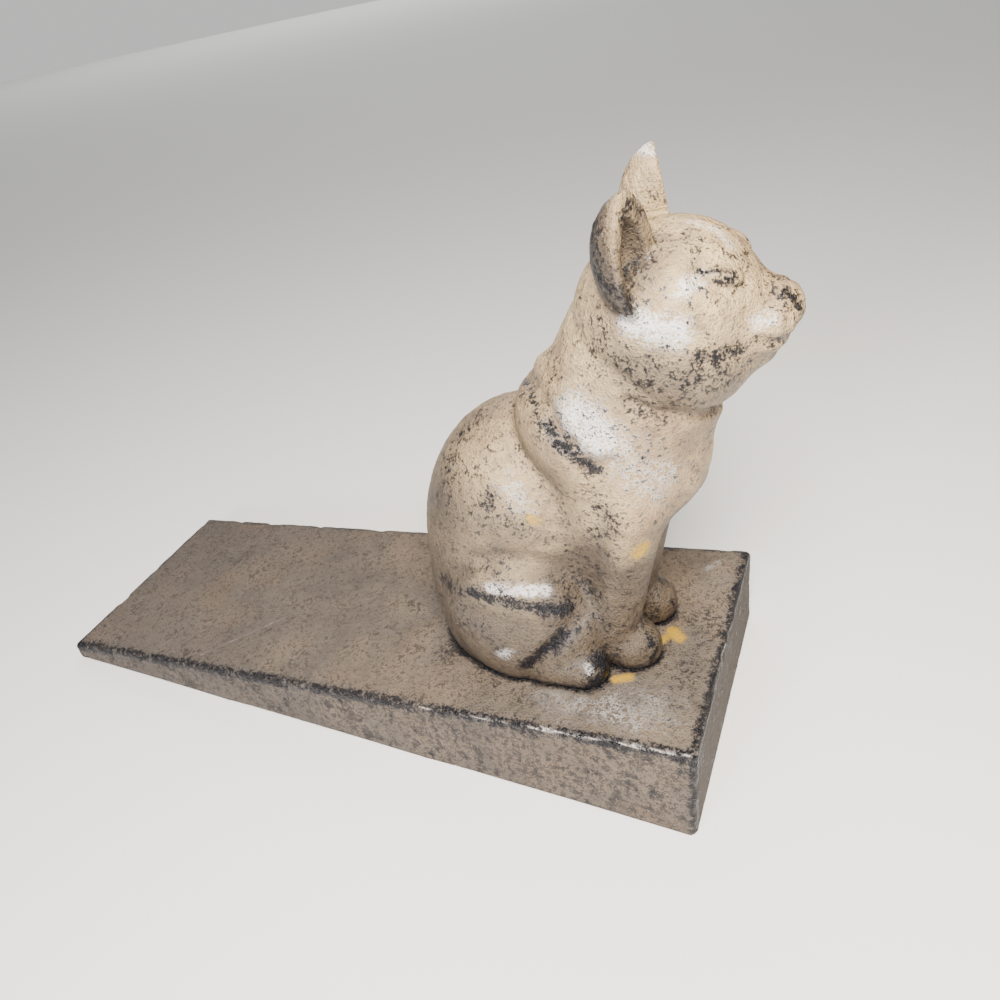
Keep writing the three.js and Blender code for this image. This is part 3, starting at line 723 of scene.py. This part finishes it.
def painted_iron(name, paint, dull, colours, speckle, grain_bump, thin_end_shade, matt, mottle):
    """Sand-cast iron under a thin brushed coat of matt paint that is worn through to black.

    It gives the eye a chalky tan skin, peppered with fine black pits, torn open to dark
    glossier iron on the worn places, with a cool pale highlight painted on the high ones and
    shade painted where the painted_shade value is high. speckle is where pits begin,
    grain_bump the sand's bump in millimetres, thin_end_shade how much shade is painted towards
    the thin end, matt its roughness and mottle how unevenly it took.
    """
    material = bpy.data.materials.new(name)
    material.use_nodes = True
    tree = material.node_tree
    shader = tree.nodes["Principled BSDF"]
    place = add(tree, "ShaderNodeTexCoord").outputs["Object"]
    mm = add(tree, "ShaderNodeMapping", {}, {
        "Vector": place, "Scale": (1 / MM, 1 / MM, 1 / MM)}).outputs["Vector"]

    # Noises by the width of their lumps in millimetres: clouds and streaks of the brush, clouds
    # of older paint, then the wear. Real sand pits are 0.2 to 0.6 mm
    noises = {}
    for key, width, detail, roughness in (
            ("cloud", 12, 4, 0.6), ("streak", 2.6, 5, 0.7), ("older", 20, 3, 0.6),
            ("fine", 0.42, 2, 0.6), ("middling", 1.1, 3, 0.6), ("patch", 5, 3, 0.6)):
        noises[key] = add(tree, "ShaderNodeTexNoise", {}, {
            "Vector": mm, "Scale": 1 / width, "Detail": detail,
            "Roughness": roughness}).outputs["Fac"]
    wear_and_painted_light = {}
    for key in ("hollow", "painted_shade", "bare", "rub_and_highlight", "rust"):
        wear_and_painted_light[key] = add(tree, "ShaderNodeAttribute", {"attribute_name": key}).outputs["Fac"]

    times_plus, eased = {"operation": "MULTIPLY_ADD"}, {"interpolation_type": "SMOOTHSTEP"}

    # Brushed paint, warmed by older paint, with shade painted darker towards the thin end
    brushed = add(tree, "ShaderNodeMath", {"operation": "ADD"}, {
        0: noises["cloud"], 1: noises["streak"]})
    thick = add(tree, "ShaderNodeMapRange", {}, {
        "Value": brushed, "From Min": 0.82, "From Max": 1.18})
    warm = add(tree, "ShaderNodeMapRange", {}, {
        "Value": noises["older"], "From Min": 0.47, "From Max": 0.66, "To Max": mottle})
    along = add(tree, "ShaderNodeSeparateXYZ", {}, {"Vector": mm})
    shaded_end = add(tree, "ShaderNodeMapRange", {}, {
        "Value": along.outputs["X"], "From Min": -85, "From Max": 85, "To Min": thin_end_shade,
        "To Max": 0})

    # Painted shade from the painted_shade value, laid over the brush's thin streaks
    streaks_and_shade = add(tree, "ShaderNodeMath", {"operation": "MULTIPLY_ADD", "use_clamp": True}, {
        0: noises["streak"], 1: 0.5, 2: wear_and_painted_light["painted_shade"]})
    shade_share = add(tree, "ShaderNodeMapRange", {}, {"Value": streaks_and_shade, "From Min": 0.25, "To Max": 0.92})

    # Grit, and each grain of the skin catching a little more or less paint
    both = add(tree, "ShaderNodeMath", {"operation": "ADD"}, {
        0: noises["fine"], 1: noises["middling"]})
    grit = add(tree, "ShaderNodeMapRange", {"clamp": False}, {
        "Value": both, "From Min": 0.72, "From Max": 1.28})
    grainy = add(tree, "ShaderNodeMapRange", {}, {
        "Value": grit, "From Min": 0.25, "To Max": mottle})
    ragged = add(tree, "ShaderNodeMath", times_plus, {0: noises["patch"], 1: 0.8, 2: grit})
    sunk = add(tree, "ShaderNodeMath", times_plus, {0: wear_and_painted_light["hollow"], 1: 0.35, 2: ragged})

    # Brown-black pits all over, thicker in the hollows
    peppered = add(tree, "ShaderNodeMath", times_plus, {0: wear_and_painted_light["bare"], 1: 0.3, 2: sunk})
    pit = add(tree, "ShaderNodeMapRange", eased, {
        "Value": peppered, "From Min": speckle, "From Max": speckle + 0.38,
        "To Max": 0.9})

    # Paint torn open to black iron, with a thin dark veil about it
    torn = add(tree, "ShaderNodeMath", times_plus, {0: wear_and_painted_light["bare"], 1: 0.75, 2: sunk})
    black = add(tree, "ShaderNodeMapRange", eased, {
        "Value": torn, "From Min": 1.15, "From Max": 1.85, "To Max": 0.95})
    veil = add(tree, "ShaderNodeMath", {"operation": "MULTIPLY"}, {0: wear_and_painted_light["bare"], 1: 0.55})

    # Painted highlights and pale rubs, broken up by the grain, and rust stains
    glint = add(tree, "ShaderNodeMath", times_plus, {0: wear_and_painted_light["rub_and_highlight"], 1: 0.9, 2: grit})
    highlight_share = add(tree, "ShaderNodeMapRange", eased, {
        "Value": glint, "From Min": 0.8, "From Max": 1.6, "To Max": 0.92})
    stain = add(tree, "ShaderNodeMath", {"operation": "MULTIPLY"}, {
        0: wear_and_painted_light["rust"], 1: noises["patch"]})
    stained = add(tree, "ShaderNodeMapRange", {}, {
        "Value": stain, "From Min": 0.12, "From Max": 0.45, "To Max": 0.8})

    # The coats, each over the one before: how much of it there is, and its colour
    coat = (*dull, 1)
    for share, colour in (
            (thick, paint), (warm, colours.old_paint), (shaded_end, linear(END_SHADE)),
            (shade_share, linear(SHADE_BROWN)), (grainy, dull), (highlight_share, colours.highlight_colour),
            (veil, linear(VEIL)), (pit, linear(PIT)), (black, colours.black_iron),
            (stained, colours.ochre_rust)):
        coat = add(tree, "ShaderNodeMix", {"data_type": "RGBA"}, {
            "Factor": share, "A": coat, "B": (*colour, 1)}).outputs["Result"]
    tree.links.new(coat, shader.inputs["Base Color"])

    # Chalky paint is rough, torn places shine a little more, and only they are metal
    rough = add(tree, "ShaderNodeMapRange", {}, {
        "Value": black, "From Max": 0.93, "To Min": matt, "To Max": 0.36})
    highlight_smooth = add(tree, "ShaderNodeMath", times_plus, {0: highlight_share, 1: -0.16, 2: rough})
    metal = add(tree, "ShaderNodeMath", {"operation": "MULTIPLY"}, {0: black, 1: 0.6})

    # The grain of moulding sand and the step down where the paint is pitted or torn
    relief = add(tree, "ShaderNodeMath", times_plus, {0: pit, 1: -0.25, 2: grit})
    height = add(tree, "ShaderNodeMath", times_plus, {0: black, 1: -0.12, 2: relief})
    bump = add(tree, "ShaderNodeBump", {}, {
        "Height": height, "Distance": grain_bump * MM, "Strength": 1})
    for socket, source in (("Roughness", highlight_smooth), ("Metallic", metal), ("Normal", bump)):
        tree.links.new(source.outputs[0], shader.inputs[socket])
    return material


class CatFigure(bpy.types.Operator):
    """Build the fine casting of the seated cat"""

    bl_idname = "doorstop.cat_figure"
    bl_label = "Cat figure"

    def execute(self, context):
        sizes, colours = context.scene.doorstop_sizes, context.scene.doorstop_colours
        unit = sizes.cat_height / 100
        step = sizes.cat_net / unit
        seat = sizes.seat_gap / unit

        def field(p):
            return np.maximum(cat_field(p), seat - p[2])

        corners, faces = skin_of(field, *CAT_REACH, step)
        p, n = onto_skin(field, corners, step)
        mm = [v * unit / MM for v in p]
        pits = smooth_step(noise(mm, 1.3, 6), 0.72, 0.95)
        shades = self.wear_and_painted_light(p, n, pits, seat)
        height = self.relief(sizes, p, n, mm, pits, shades["bare"])
        height *= smooth_step(p[2], seat, seat + 1) * MM / unit
        points = np.stack([p[i] + n[i] * height for i in range(3)], 1) * unit
        matrix = np.array(cat_to_part(sizes))
        points = points @ matrix[:3, :3].T + matrix[:3, 3]
        material = painted_iron(
            "cast iron, brushed tan paint", colours.tan_paint, colours.dull_tan, colours,
            speckle=1.02, grain_bump=0.32, thin_end_shade=0, matt=0.46, mottle=0.42)
        mesh = net_of("cat_casting", points, faces, shades, material)
        new_piece("cat_casting", mesh, "cat_figure")
        return {"FINISHED"}

    def relief(self, sizes, p, n, mm, pits, bare):
        """How far the skin stands out, in millimetres: grain, soft lumps, pits and the seam."""
        grain = noise(mm, 0.9, 3) + 0.8 * noise(mm, 1.7, 4) - 0.9
        lumps = noise(mm, 7, 5) - 0.5
        # The skin is coarser where the paint is torn
        coarse = 1 + 1.6 * bare + 0.8 * smooth_step(noise(mm, 11, 7), 0.5, 0.8)
        height = grain * coarse * sizes.grain_height / MM + CAT_LUMPS * lumps - CAT_PITS * pits
        # The seam wanders over the front and back and stands out most on the chest
        seam_at = SEAM_WANDER * (noise([mm[2], mm[2] * 0, mm[0]], 9, 8) - 0.5)
        seam = np.exp(-((mm[1] - seam_at) / SEAM_WIDTH) ** 2) * (0.25 + noise(mm, 2.2, 9))
        seam *= smooth_step(np.abs(n[0]) + 0.6 * np.abs(n[2]), 0.3, 0.8)
        seam *= 0.45 + 0.55 * smooth_step(-np.abs(p[2] - 57), -20, -10) * (n[0] > 0)
        return height + seam * sizes.seam_height / MM

    def wear_and_painted_light(self, p, n, pits, seat):
        """How hollow, bare and rusty the cat is at each point, and where shade and highlights are
        painted.
        """
        hollow = 0.6 * sunken(cat_field, p, n, 2.2) + 0.4 * sunken(cat_field, p, n, 5)
        rub_and_highlight = marked(p, CAT_HIGHLIGHTS)
        bare = np.clip(marked(p, BARE) + marked(p, (PAW_CRACK,)), 0, 1.2)
        bare *= 1 - 0.85 * smooth_step(rub_and_highlight, 0.55, 1.1)
        # Painted shade: darker in broad hollows, on undersides, low down, in the listed places and
        # on the back-facing sides below the head
        painted_shade = 0.6 * sunken(cat_field, p, n, 10) + 0.35 * smooth_step(-n[2], -0.1, 0.7)
        painted_shade += 0.52 * (1 - smooth_step(p[2], 8, 50))
        painted_shade += marked([p[0], -np.abs(p[1]), p[2]], SHADED_PLACES) + marked(p, EAR_SHADE)
        painted_shade += 0.4 * smooth_step(-n[0], -0.2, 0.5) * (1 - smooth_step(p[2], 58, 72))
        # The ears have kept their paint inside, and the far one has less painted shade all over
        high = smooth_step(p[2], 87, 90)
        hollow *= 1 - 0.75 * high
        painted_shade *= 1 - 0.8 * smooth_step(p[1], 1, 3) * high
        # A painted contact shadow round the cat's foot, just above the seat
        seat_shadow = 1.6 * np.exp(-((p[2] - seat) / 1.1) ** 2)
        # The hollow value also carries the painted contact shadow and some painted shade
        return {
            "hollow": np.clip(1.4 * hollow + seat_shadow + 0.6 * pits + 0.5 * painted_shade, 0, 1.3),
            "painted_shade": np.clip(painted_shade, 0, 1),
            "bare": bare,
            "rub_and_highlight": rub_and_highlight,
            "rust": marked(p, CAT_RUST),
        }


class WedgeBase(bpy.types.Operator):
    """Build the rough cast wedge"""

    bl_idname = "doorstop.wedge_base"
    bl_label = "Wedge base"

    def execute(self, context):
        sizes, colours = context.scene.doorstop_sizes, context.scene.doorstop_colours
        field = wedge_field_of(sizes)
        step = sizes.wedge_net / MM
        low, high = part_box("wedge_base")
        low = [v / MM - 3 * step for v in low]
        high = [v / MM + 3 * step for v in high]
        corners, faces = skin_of(field, low, high, step)
        p, n = onto_skin(field, corners, step)

        # The second nearest wall tells how near an edge is
        to_edge = -np.sort(np.stack(wedge_walls_of(sizes)(p)), axis=0)[1]
        edge = (1 - smooth_step(to_edge, 0.4, 2.2)) * smooth_step(p[2], 0.6, 1.6)
        side = 1 - np.abs(n[2])
        streaks = side * smooth_step(noise([p[0], p[1], 0.45 * p[2]], 0.9, 20), 0.5, 0.85)
        pits = smooth_step(noise(p, 1.5, 16), 0.74, 0.95)
        height = self.relief(sizes, p, n, edge, side, streaks, pits)
        points = np.stack([p[i] + n[i] * height for i in range(3)], 1) * MM
        points[:, 2] = np.maximum(points[:, 2], 0)

        to_cat = np.linalg.inv(np.array(cat_to_part(sizes)))
        from_cat = points @ to_cat[:3, :3].T + to_cat[:3, 3]
        unit = sizes.cat_height / 100
        near_cat = cat_field([from_cat[:, i] / unit for i in range(3)]) * unit / MM
        shades = self.wear_and_painted_light(p, n, np.maximum(near_cat, 0), to_edge, edge, side, streaks, pits)
        material = painted_iron(
            "cast iron, dull brown paint", colours.brown_paint, colours.dull_brown, colours,
            speckle=0.9, grain_bump=0.36, thin_end_shade=0.55, matt=0.85, mottle=0.2)
        mesh = net_of("wedge_casting", points, faces, shades, material)
        new_piece("wedge_casting", mesh, "wedge_base")
        return {"FINISHED"}

    def relief(self, sizes, p, n, edge, side, streaks, pits):
        """How far the skin stands out, in millimetres.

        A hand-rubbed mould leaves slow swells, sand grain, pits, nicked edges and rougher sides.
        """
        grain = noise(p, 1.1, 13) + 0.8 * noise(p, 2.1, 14) - 0.9
        swell = noise(p, 24, 15) - 0.5
        nicks = edge * smooth_step(noise(p, 3.2, 17), 0.45, 0.85)
        height = grain * (1 + 1.2 * side) * 0.9 * sizes.grain_height / MM
        height += WEDGE_SWELLS * swell - WEDGE_PITS * pits
        height -= WEDGE_NICKS * nicks + WEDGE_STREAKS * streaks
        for x, y, radius, rise in WEDGE_PIMPLES:
            away = np.hypot(p[0] - x, p[1] - y) / radius
            height += rise * np.exp(-away ** 2) * (n[2] > 0.5)
        return height * smooth_step(p[2], 0.05, 0.9)

    def wear_and_painted_light(self, p, n, near_cat, to_edge, edge, side, streaks, pits):
        """How hollow, bare and rusty the wedge is at each point, and where shade, shadow and
        highlights are painted.
        """
        # Painted shadow round the cat's foot, and a painted black contact shadow line under it
        painted_shade = 1.6 * np.exp(-(near_cat / 0.9) ** 2) + 0.45 * np.exp(-near_cat / 4)
        contact_shadow_line = np.exp(-(near_cat / 0.55) ** 2)
        # A painted highlight along the near top edge, most of all towards the thick end
        edge_highlight = (1 - smooth_step(to_edge, 0.3, 0.7)) * (p[1] < 0) * (n[2] > 0.3)
        edge_highlight *= smooth_step(p[0], 0, 40)
        edge_highlight *= smooth_step(noise(p, 7, 18) + 0.4 * smooth_step(p[0], 40, 70), 0.45, 0.7)
        bare = marked(p, WEDGE_BARE) + 1.3 * contact_shadow_line + 1.5 * edge * (0.2 + noise(p, 4, 19))
        bare += 0.3 * streaks - 1.5 * edge_highlight
        # Pits gather in the painted shadow round the cat and on the sides; painted shade darkens
        # round the cat, the sides and the thick end's face
        return {
            "hollow": np.clip(0.9 * painted_shade + 0.6 * pits + 0.9 * streaks + 0.4 * side, 0, 1),
            "painted_shade": np.clip(0.25 * painted_shade + 0.25 * side + 1.2 * (n[0] > 0.7), 0, 1.3),
            "bare": np.clip(bare, 0, 1),
            "rub_and_highlight": np.clip(marked(p, WEDGE_RUBS_AND_HIGHLIGHT) + 1.3 * edge_highlight, 0, 1),
            "rust": marked(p, WEDGE_RUST),
        }


def pimple_tree(material):
    """Scatters flat round pimples over a surface."""
    tree = bpy.data.node_groups.new("casting pimples", "GeometryNodeTree")
    face = tree.interface
    face.new_socket("Geometry", in_out="INPUT", socket_type="NodeSocketGeometry")
    width = face.new_socket("Pimple width", in_out="INPUT", socket_type="NodeSocketFloat")
    density = face.new_socket("Pimples per m²", in_out="INPUT", socket_type="NodeSocketFloat")
    seed = face.new_socket("Seed", in_out="INPUT", socket_type="NodeSocketInt")
    face.new_socket("Geometry", in_out="OUTPUT", socket_type="NodeSocketGeometry")
    entry = tree.nodes.new("NodeGroupInput")
    scatter = add(tree, "GeometryNodeDistributePointsOnFaces", {}, {
        "Mesh": entry.outputs["Geometry"], "Density": entry.outputs["Pimples per m²"],
        "Seed": entry.outputs["Seed"]})
    ball = add(tree, "GeometryNodeMeshIcoSphere", {}, {"Radius": 0.5, "Subdivisions": 2})
    size = add(tree, "FunctionNodeRandomValue", {"data_type": "FLOAT"}, {
        2: 0.35, 3: 1, "Seed": entry.outputs["Seed"]})
    scale = add(tree, "ShaderNodeMath", {"operation": "MULTIPLY"}, {
        0: size.outputs[1], 1: entry.outputs["Pimple width"]})
    flat = add(tree, "ShaderNodeCombineXYZ", {}, {"X": 1, "Y": 1, "Z": 0.55})
    squashed = add(tree, "ShaderNodeVectorMath", {"operation": "SCALE"}, {0: flat, "Scale": scale})
    placed = add(tree, "GeometryNodeInstanceOnPoints", {}, {
        "Points": scatter, "Instance": ball,
        "Rotation": scatter.outputs["Rotation"], "Scale": squashed})
    real = add(tree, "GeometryNodeRealizeInstances", {}, {"Geometry": placed})
    smooth = add(tree, "GeometryNodeSetShadeSmooth", {}, {"Geometry": real})
    skin = add(tree, "GeometryNodeSetMaterial", {}, {"Geometry": smooth, "Material": material})
    leave = tree.nodes.new("NodeGroupOutput")
    tree.links.new(skin.outputs["Geometry"], leave.inputs["Geometry"])
    return tree, width.identifier, density.identifier, seed.identifier


class CastingPimples(bpy.types.Operator):
    """Scatter the small pimples that sand casting leaves"""

    bl_idname = "doorstop.casting_pimples"
    bl_label = "Casting pimples"

    def execute(self, context):
        sizes = context.scene.doorstop_sizes
        for source, name, slot, seed in (
                ("cat_casting", "cat_pimples", "cat_iron", 5),
                ("wedge_casting", "wedge_pimples", "wedge_iron", 11)):
            surface = bpy.data.objects[source].data.copy()
            host = bpy.data.objects.new(name + "_host", surface)
            context.scene.collection.objects.link(host)
            tree, width_id, density_id, seed_id = pimple_tree(surface.materials[0])
            scatter = host.modifiers.new("Pimples", "NODES")
            scatter.node_group = tree
            scatter[width_id] = sizes.pimple_width
            scatter[density_id] = sizes.pimple_density
            scatter[seed_id] = seed
            context.view_layer.update()
            solid = host.evaluated_get(context.evaluated_depsgraph_get())
            mesh = bpy.data.meshes.new_from_object(solid)
            mesh.name = name
            # The tree's ball leaves an empty slot ahead of the material
            if mesh.materials[0] is None:
                mesh.materials.pop(index=0)
            bpy.data.objects.remove(host)
            new_piece(name, mesh)
        return {"FINISHED"}


def seen_from(azimuth, height):
    """The direction towards a lamp or the camera: degrees round from -Y and degrees up."""
    a, e = math.radians(azimuth), math.radians(height)
    return Vector((math.sin(a) * math.cos(e), -math.cos(a) * math.cos(e), math.sin(e)))


class Studio(bpy.types.Operator):
    """Lay the pale floor and place the lights and the camera"""

    bl_idname = "doorstop.studio"
    bl_label = "Studio"

    def execute(self, context):
        floor = self.floor()
        context.scene.collection.objects.link(floor)
        self.lights(context)
        self.camera(context)
        return {"FINISHED"}

    def floor(self):
        """A wide pale disc, a hair below the wedge, with finer rings near the middle."""
        corners, faces = [(0, 0, -FLOOR_DROP)], []
        for ring in range(1, FLOOR_RINGS + 1):
            radius = FLOOR_RADIUS * (ring / FLOOR_RINGS) ** 2
            for i in range(FLOOR_SECTORS):
                turn = 2 * math.pi * i / FLOOR_SECTORS
                corners.append((radius * math.cos(turn), radius * math.sin(turn), -FLOOR_DROP))
        for i in range(FLOOR_SECTORS):
            faces.append((0, 1 + i, 1 + (i + 1) % FLOOR_SECTORS))
        for ring in range(FLOOR_RINGS - 1):
            start = 1 + ring * FLOOR_SECTORS
            for i in range(FLOOR_SECTORS):
                a, b = start + i, start + (i + 1) % FLOOR_SECTORS
                faces.append((a, a + FLOOR_SECTORS, b + FLOOR_SECTORS, b))
        mesh = bpy.data.meshes.new("studio_floor")
        mesh.from_pydata(corners, [], faces)
        mesh.polygons.foreach_set("use_smooth", np.ones(len(faces), bool))
        # Matt white paper: an even pale ground
        paper = bpy.data.materials.new("matt studio paper")
        paper.use_nodes = True
        shader = paper.node_tree.nodes["Principled BSDF"]
        shader.inputs["Base Color"].default_value = (*linear("#efeeec"), 1)
        shader.inputs["Roughness"].default_value = 0.9
        mesh.materials.append(paper)
        return bpy.data.objects.new("studio_floor", mesh)

    def lights(self, context):
        target = Vector(LIT_PLACE)
        for name, azimuth, height, distance, size, power, tint in LAMPS:
            lamp = bpy.data.lights.new(name + "_light", "AREA")
            lamp.shape = "DISK"
            lamp.size = size
            lamp.energy = power
            lamp.color = linear(tint)
            light = bpy.data.objects.new(name + "_light", lamp)
            away = seen_from(azimuth, height)
            light.location = target + away * distance
            light.rotation_euler = away.to_track_quat("Z", "Y").to_euler()
            light.visible_camera = False
            context.scene.collection.objects.link(light)
        # A dim even sky for the light, and a paler one behind the floor
        world = bpy.data.worlds.new("studio_sky")
        world.use_nodes = True
        tree, colour = world.node_tree, (*linear("#f4f3f2"), 1)
        lit = tree.nodes["Background"]
        lit.inputs["Color"].default_value = colour
        lit.inputs["Strength"].default_value = SKY_LIGHT
        seen = add(tree, "ShaderNodeBackground", {}, {"Color": colour, "Strength": SKY_SEEN})
        rays = add(tree, "ShaderNodeLightPath")
        sky = add(tree, "ShaderNodeMixShader", {}, {
            0: rays.outputs["Is Camera Ray"], 1: lit, 2: seen})
        tree.links.new(sky.outputs[0], tree.nodes["World Output"].inputs["Surface"])
        context.scene.world = world

    def camera(self, context):
        azimuth, height, roll = CAMERA_ANGLES
        back = seen_from(azimuth, height)
        right = Vector((math.cos(math.radians(azimuth)), math.sin(math.radians(azimuth)), 0))
        up = back.cross(right)
        c, s = math.cos(math.radians(roll)), math.sin(math.radians(roll))
        across, upright = right * c + up * s, up * c - right * s
        lens = bpy.data.cameras.new("photo_view")
        lens.sensor_width = SENSOR
        lens.lens = LENS
        lens.clip_start = 0.01
        view = bpy.data.objects.new("photo_view", lens)
        rows = zip(across, upright, back, CAMERA_PLACE)
        view.matrix_world = Matrix((*rows, (0, 0, 0, 1)))
        context.scene.collection.objects.link(view)
        context.scene.camera = view


class DoorstopPanel(bpy.types.Panel):
    """Sizes, colours and pieces of the doorstop"""

    bl_idname = "VIEW3D_PT_doorstop"
    bl_label = "Cat doorstop"
    bl_space_type = "VIEW_3D"
    bl_region_type = "UI"
    bl_category = "Doorstop"

    def draw(self, context):
        for group in (context.scene.doorstop_sizes, context.scene.doorstop_colours):
            column = self.layout.column(align=True)
            for key in group.bl_rna.properties.keys():
                if key not in ("rna_type", "name"):
                    column.prop(group, key)
        for piece in PIECES:
            self.layout.operator(piece.bl_idname)


PIECES = (CatFigure, WedgeBase, CastingPimples, Studio)
CLASSES = (DoorstopSizes, DoorstopColours, *PIECES, DoorstopPanel)


def register():
    for kind in CLASSES:
        bpy.utils.register_class(kind)
    bpy.types.Scene.doorstop_sizes = PointerProperty(type=DoorstopSizes)
    bpy.types.Scene.doorstop_colours = PointerProperty(type=DoorstopColours)


def unregister():
    del bpy.types.Scene.doorstop_colours
    del bpy.types.Scene.doorstop_sizes
    for kind in reversed(CLASSES):
        bpy.utils.unregister_class(kind)


def main():
    register()
    bpy.ops.doorstop.cat_figure()
    bpy.ops.doorstop.wedge_base()
    bpy.ops.doorstop.casting_pimples()
    bpy.ops.doorstop.studio()


if __name__ == "__main__":
    main()
